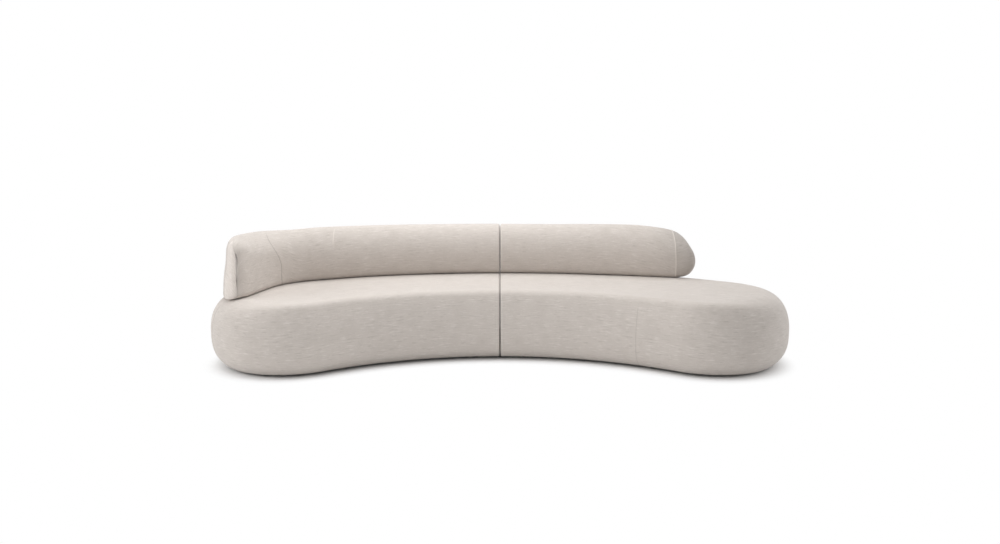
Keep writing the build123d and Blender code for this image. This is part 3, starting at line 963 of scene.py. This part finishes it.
def make_roll(name, side, seed):
    """Skin of a backrest roll."""
    front = Front(side)
    front_columns, seams = front_sheet(side, front)
    sheets = with_underside(front_columns, outer_sheet(front_columns[:, 0], side), side)
    lengths, lines, panel_light_layers = [], [], []
    for number, sheet in enumerate(sheets):
        sheet, normal = settled(sheet, lambda points: roll_value(points, side, front))
        sheet = stuffed(sheet, side)
        line = np.zeros(sheet.shape[:2])
        shown = seams_behind[side] if number else len(seams)
        for seam, (heights, strengths) in zip(seams[:shown], seam_strengths[side]):
            strength = np.interp(sheet[..., 2], heights, strengths)
            width = np.where(strength > 0, groove_width, edge_width)
            depth = strength * seam_line(sheet, seam, width)
            line = np.where(np.abs(depth) > np.abs(line), depth, line)
        line = line * (np.arange(sheet.shape[1]) < roll_rows)
        sheets[number] = uneven(sheet, normal, line, seed, roll_wave, roll_calm)
        run = lengths_along(sheet[:, roll_rows // 2])[:, None]
        lengths.append(np.stack(np.broadcast_arrays(run, -lengths_along(sheet, 1)), -1))
        lines.append(line)
        # Painted light for each column from its panel, less a painted shade that grows nearing
        # the right end seam.
        column_painted_light = np.array(panel_painted_light[side])[np.searchsorted(seams, np.arange(len(sheet)))]
        near_seam_shade = ramp(sheet[..., 0], *shadow_run) * (column_painted_light[:, None] == 1)
        panel_light_layers.append(column_painted_light[:, None] * (1 - seam_shadow[side] * near_seam_shade))
    shared = (sheets[0][:, [0, -1]] + sheets[1][:, [0, -1]]) / 2
    tip = (sheets[0][-1] + sheets[1][-1]) / 2
    tip[:roll_rows] = tip[roll_rows - 1]
    for sheet in sheets:
        sheet[:, [0, -1]] = shared
        sheet[-1] = tip
    return skin_mesh(name, *sheets, side, {"cloth": lengths, "seam": lines, "shade": panel_light_layers})


rolls = {
    "left": make_roll("left_backrest_upholstery", "left", 37),
    "right": make_roll("right_backrest_upholstery", "right", 41),
}

# %% [markdown]
# Shader maths reads best as plain formulas. One small class wraps a socket, so that
# an expression on values adds the Math nodes it needs.

# %% A socket that can be calculated with
class Value:
    """A node's output, with Python's operators as Math nodes."""

    def __init__(self, finish, socket):
        self.finish, self.socket = finish, socket

    def math(self, operation, *inputs):
        return self.finish.node("ShaderNodeMath", {"operation": operation},
                                dict(enumerate(inputs)))

    def __add__(self, other):
        return self.math("ADD", self, other)

    def __sub__(self, other):
        return self.math("SUBTRACT", self, other)

    def __rsub__(self, other):
        return self.math("SUBTRACT", other, self)

    def __mul__(self, other):
        return self.math("MULTIPLY", self, other)

    __radd__, __rmul__ = __add__, __mul__

    def sine(self):
        return self.math("SINE", self)

    def clamp(self):
        return self.finish.node("ShaderNodeClamp", {}, {"Value": self})

    def smooth(self, low, high):
        """0 below low, 1 above high, and a smooth step between."""
        return self.finish.node("ShaderNodeMapRange", {"interpolation_type": "SMOOTHSTEP"},
                                {"Value": self, "From Min": low, "From Max": high}, "Result")


class Finish:
    """A material, or a world, that is being wired up."""

    def __init__(self, name, owner=None):
        self.material = owner or bpy.data.materials.new(name)
        self.material.use_nodes = True
        self.nodes = self.material.node_tree.nodes
        self.links = self.material.node_tree.links
        self.shader = self.nodes.get("Principled BSDF")

    def node(self, kind, settings, sockets, output=0):
        """Add a node of a kind: settings first, then numbers or links to its sockets."""
        made = self.nodes.new(kind)
        for key, value in settings.items():
            setattr(made, key, value)
        for key, value in sockets.items():
            self.feed(made.inputs[key], value)
        return Value(self, made.outputs[output])

    def feed(self, socket, value):
        """Link a value to a socket, or set its number or colour."""
        if isinstance(value, Value):
            self.links.new(value.socket, socket)
        else:
            colour = isinstance(value, tuple) and socket.type == "RGBA"
            socket.default_value = (*value, 1) if colour else value

    def place(self):
        """The object's own coordinates, in metres."""
        return self.node("ShaderNodeTexCoord", {}, {}, "Object")

    def split(self, vector):
        """The x and y of a vector."""
        return [self.node("ShaderNodeSeparateXYZ", {}, {"Vector": vector}, axis)
                for axis in "XY"]

    def layer(self, name):
        """A value stored at the mesh's points."""
        return self.node("ShaderNodeAttribute", {"attribute_name": name}, {}, "Fac")

    def noise(self, vector, scale, detail=2.0, roughness=0.5):
        """Noise of one scale, or stretched by a scale for each axis."""
        if isinstance(scale, tuple):
            vector = self.node("ShaderNodeMapping", {}, {"Vector": vector, "Scale": scale})
            scale = 1.0
        return self.node("ShaderNodeTexNoise", {}, {"Vector": vector, "Scale": scale,
                                                    "Detail": detail, "Roughness": roughness})

    def mix(self, factor, first, second, blend="MIX"):
        """Two colours mixed by a factor, or blended in another way."""
        settings = {"data_type": "RGBA", "blend_type": blend}
        return self.node("ShaderNodeMix", settings, {0: factor, 6: first, 7: second}, 2)

    def bump(self, height, distance, strength):
        return self.node("ShaderNodeBump", {}, {"Height": height, "Distance": distance,
                                                "Strength": strength})

    def finish(self, **sockets):
        """Feed the shader's sockets by name, and give the material."""
        for key, value in sockets.items():
            self.feed(self.shader.inputs[key.replace("_", " ")], value)
        return self.material


# %% [markdown]
# The cover is a pale, warm grey woven cloth. Short thick places in the yarn, the
# slubs, lie across it as fine light and dark dashes. On the sides they follow the
# seat round, by the skin's own map of lengths, and on top they lie along the sofa.

# %% Upholstery cloth
yarn_pitch = 0.0024
slub_scale, fleck_scale, cloud_scale = (17.0, 120.0, 17.0), (60.0, 230.0, 60.0), 11.0
cloth_pale = (0.61, 0.558, 0.515)
cloth_dark = (0.52, 0.473, 0.432)
cloth_light = (0.70, 0.65, 0.61)
# Seam colours: painted shade darkens the grooves and a painted highlight lightens the raised
# edges.
seam_painted_shade = (0.26, 0.235, 0.21)
seam_painted_highlight = (0.78, 0.72, 0.67)


def woven(finish, vector, pitch):
    """A plain weave: the product of two sines, one along the yarn and one across."""
    weft, warp = ((along * (2 * pi / pitch)).sine() for along in finish.split(vector))
    return weft * warp


def cloth_pattern(finish, vector):
    """Slubs, flecks, mottling and weave on a vector in metres along and across."""
    return (finish.noise(vector, slub_scale), finish.noise(vector, fleck_scale, 2.0, 0.6),
            finish.noise(vector, cloud_scale, 3.0), woven(finish, vector, yarn_pitch))


def upholstery(with_top):
    """Cloth of a seat, whose top has its own direction, or of a roll with the painted light and
    painted shade of its panels.
    """
    finish = Finish("upholstery_cloth_seat" if with_top else "upholstery_cloth_roll")
    pattern = cloth_pattern(finish, finish.node("ShaderNodeUVMap", {"uv_map": "cloth"}, {}))
    if with_top:
        top = finish.layer("top")
        pattern = [side + (above - side) * top for side, above
                   in zip(pattern, cloth_pattern(finish, finish.place()))]
    slub, fleck, cloud, weave = pattern
    seam = finish.layer("seam")
    dark = finish.mix(slub.smooth(0.45, 0.26), cloth_pale, cloth_dark)
    light = finish.mix(slub.smooth(0.55, 0.74), dark, cloth_light)
    flecked = finish.mix(fleck.smooth(0.54, 0.72) * 0.8, light, cloth_light)
    shaded = finish.mix(cloud.smooth(0.6, 0.3) * 0.25, flecked, cloth_dark)
    # Painted shade in the seams' grooves, then a painted highlight on their raised edges.
    cloth_with_painted_light = finish.mix((seam * 1.1).clamp() * 0.8, shaded, seam_painted_shade)
    cloth_with_painted_light = finish.mix((seam * -1.6).clamp(), cloth_with_painted_light, seam_painted_highlight)
    if not with_top:
        # Painted light and painted shade of each roll panel, multiplied into the colour.
        cloth_with_painted_light = finish.mix(1.0, cloth_with_painted_light, finish.layer("shade"), "MULTIPLY")
    height = slub * 0.6 + fleck * 0.5 + weave * 0.12
    return finish.finish(Base_Color=cloth_with_painted_light, Roughness=0.92, Specular_IOR_Level=0.25,
                         Sheen_Weight=0.25, Sheen_Roughness=0.5,
                         Normal=finish.bump(height, 0.0016, 0.7))


for pieces, cloth in ((seats, upholstery(True)), (rolls, upholstery(False))):
    for side, piece in pieces.items():
        piece.data.materials.append(cloth)
        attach(piece, side + "_module")
for side, seat in seats.items():
    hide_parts(*[side + "_" + node for node in (
        "seat_cover", "seat_foam", "joint_foam", "front_foam", "end_foam", "rear_foam")])
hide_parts("left_back_cover", "left_back_foam",
            "left_arm_cover", "left_arm_foam")
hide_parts("right_back_cover", "right_back_foam", "right_end_cap_cover")

# %% [markdown]
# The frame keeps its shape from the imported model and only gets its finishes. Timber
# and plywood are planed boards with the grain along each board, the webbing is woven
# strap, the lining under the seat is black bonded fibre, the feet are moulded
# plastic and the connectors are brushed steel. Each is one procedural material, and
# the direction of the grain comes from the way the board lies.

# %% Finishes of the frame
wood_colours = {"frame_timber": ((0.56, 0.40, 0.24), (0.40, 0.25, 0.13)),
                "plywood": ((0.62, 0.47, 0.30), (0.50, 0.35, 0.20))}
# Scales along and across the grain, detail and roughness, of the rings and the pores.
wood_grain = ((1.2, 26.0, 4.0, 0.6), (14.0, 500.0, 2.0, 0.5))
strap_pale, strap_dark = (0.42, 0.36, 0.27), (0.17, 0.14, 0.11)
strap_pitch, strap_stripe = 0.004, 0.025


def planed_wood(name, axis, pale, dark):
    """Wood: wide rings and fine pores, both drawn out along the grain."""
    finish = Finish(f"{name}_along_{'xyz'[axis]}")
    rings, pores = (finish.noise(finish.place(), tuple(along if number == axis else across
                                                       for number in range(3)), detail, rough)
                    for along, across, detail, rough in wood_grain)
    ringed = finish.mix(((rings * 34).sine() * 0.5 + 0.5) * 0.6, pale, dark)
    porous = finish.mix(pores.smooth(0.5, 0.75) * 0.5, ringed, dark)
    return finish.finish(Base_Color=porous, Roughness=rings * 0.2 + 0.5,
                         Normal=finish.bump(pores, 0.0004, 0.5))


def woven_strap():
    """Webbing: a plain weave of two crossing sines, with darker bands."""
    finish = Finish("woven_strap")
    x, y = finish.split(finish.place())
    bands = ((x + y) * (2 * pi / strap_stripe)).sine()
    fibres = finish.noise(finish.place(), 600.0, 3.0, 0.55)
    colour = finish.mix(bands.smooth(0.55, 0.8) * 0.7, strap_pale, strap_dark)
    weave = woven(finish, finish.place(), strap_pitch)
    return finish.finish(Base_Color=finish.mix(fibres * 0.4, colour, strap_dark),
                         Roughness=0.85, Normal=finish.bump(weave + fibres, 0.0006, 0.6))


def bonded_fibre():
    """Black lining: matted fibres with small pressed spots."""
    finish = Finish("bonded_fibre")
    fibres = finish.noise(finish.place(), 420.0, 4.0, 0.7)
    spots = finish.node("ShaderNodeTexVoronoi", {}, {"Vector": finish.place(), "Scale": 260.0})
    colour = finish.mix(fibres.smooth(0.35, 0.75), (0.012, 0.012, 0.013), (0.045, 0.045, 0.047))
    return finish.finish(Base_Color=colour, Roughness=fibres * 0.2 + 0.75,
                         Normal=finish.bump(spots + fibres * 0.5, 0.0005, 0.6))


def grained(name, scale, colours, roughness, spread, depth, strength, metallic=0.0):
    """Plastic or metal: one noise, which varies colour, roughness and height a little."""
    finish = Finish(name)
    grain = finish.noise(finish.place(), scale)
    return finish.finish(Base_Color=finish.mix(grain, *colours), Metallic=metallic,
                         Roughness=grain * spread + roughness,
                         Normal=finish.bump(grain, depth, strength))


finishes = {"webbing": woven_strap(), "dust_cloth": bonded_fibre(),
            "glide_plastic": grained("moulded_plastic", 900.0, (
                (0.030, 0.030, 0.032), (0.050, 0.050, 0.053)), 0.35, 0.2, 0.0002, 0.5),
            "connector_steel": grained("brushed_steel", (30.0, 900.0, 900.0), (
                (0.46, 0.47, 0.48), (0.60, 0.61, 0.62)), 0.25, 0.25, 0.0001, 0.4, 1.0)}
woods = {(name, axis): planed_wood(name, axis, *colours)
         for axis in range(3) for name, colours in wood_colours.items()}
upright, crossing = ("posts", "blocks"), ("braces", "joint_rail", "end_rail")
used = set()
for node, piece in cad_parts.items():
    axis = 2 if node.endswith(upright) else 1 if node.endswith(crossing) else 0
    for slot in piece.material_slots:
        slot.material = (finishes.get(slot.name) or woods.get((slot.name, axis))
                         or slot.material)
        used.add(slot.name)
print("finished", sorted(used))

# %% [markdown]
# The photograph looks down a little from in front of the joint, from almost five
# metres away. The camera was solved from the outlines in it.

# %% Camera
lens = 28.55
eye = (0, -4.784, 1.266)
looking_down = 0.161
camera = bpy.data.cameras.new("camera")
camera.lens = lens
bpy.context.scene.camera = put("camera", camera, eye, (pi / 2 - looking_down, 0, 0))
print("camera", eye)

# %% [markdown]
# The studio is white all round: a pale floor that keeps the soft shadow, a world
# that is white to the camera, and wide lamps above and at the sides. The floor is lit
# paint where something stands close over it, and there its paint is darker, as painted
# shade under the sofa; it is plain white where the camera sees it in the open, so that
# only the shadow next to the sofa is left.

# %% Floor, world and lamps
half = 30.0
# The floor's darker paint is painted shade, used where something stands close over it.
floor_painted_shade, paint_pale = (0.40, 0.40, 0.40), (0.93, 0.93, 0.93)
floor_shade_run = (0.02, 0.14)
white_least, white_run = 0.01, (0.14, 0.88)
shadow_reach = 0.13
world_light = 0.46
floor_mesh = bpy.data.meshes.new("studio_floor")
floor_mesh.from_pydata([(-half, -half, 0), (half, -half, 0), (half, half, 0), (-half, half, 0)],
                       [], [(0, 1, 2, 3)])
put("studio_floor", floor_mesh)


def seen_directly(finish):
    """1 for rays from the camera and for mirrored and refracted ones, else 0."""
    camera, glossy, passing = (finish.node("ShaderNodeLightPath", {}, {}, f"Is {kind} Ray")
                               for kind in ("Camera", "Glossy", "Transmission"))
    return (camera + glossy + passing).clamp()


def whitened(finish, factor, shader, other, name):
    """Output of a shader that turns into white light by a factor, as it is seen."""
    glow = finish.node(other, {}, {"Color": (1, 1, 1), "Strength": 1.0})
    shown = finish.node("ShaderNodeMixShader", {}, {0: factor, 1: shader, 2: glow})
    finish.feed(finish.nodes[name].inputs["Surface"], shown)


paint = Finish("studio_floor_paint")
openness = paint.node("ShaderNodeAmbientOcclusion", {"samples": 16},
                      {"Distance": shadow_reach}, "AO")
# Painted shade: the paint darkens where ambient occlusion finds the sofa close above.
paint.finish(Base_Color=paint.mix(openness.smooth(*floor_shade_run), floor_painted_shade, paint_pale),
             Roughness=0.9, Specular_IOR_Level=0.1)
whiter = white_least + (1 - white_least) * openness.smooth(*white_run)
whitened(paint, whiter * seen_directly(paint), Value(paint, paint.shader.outputs[0]),
         "ShaderNodeEmission", "Material Output")
floor_mesh.materials.append(paint.material)

bpy.context.scene.world = bpy.data.worlds.new("studio")
sky = Finish("studio", bpy.context.scene.world)
light = sky.node("ShaderNodeBackground", {}, {"Color": (1, 1, 1), "Strength": world_light})
whitened(sky, seen_directly(sky), light, "ShaderNodeBackground", "World Output")


def softbox(name, place, target, width, height, power):
    """A wide lamp at a place, turned to a target."""
    lamp = bpy.data.lights.new(name, "AREA")
    lamp.shape = "RECTANGLE"
    lamp.size, lamp.size_y, lamp.energy = width, height, power
    way = Vector(target) - Vector(place)
    put(name, lamp, place, way.to_track_quat("-Z", "Y").to_euler())


softbox("top_softbox", (-0.5, 0.1, 3.4), (0, 0, 0.4), 3.8, 3.0, 104)
softbox("left_softbox", (-4.8, -1.4, 1.7), (0, 0, 0.4), 2.4, 2.4, 58)
softbox("right_softbox", (4.8, 0.5, 1.0), (0, 0, 0.3), 2.4, 1.4, 40)
bpy.context.scene.view_settings.view_transform = "Standard"
print("lamps", [lamp.name for lamp in bpy.data.lights])
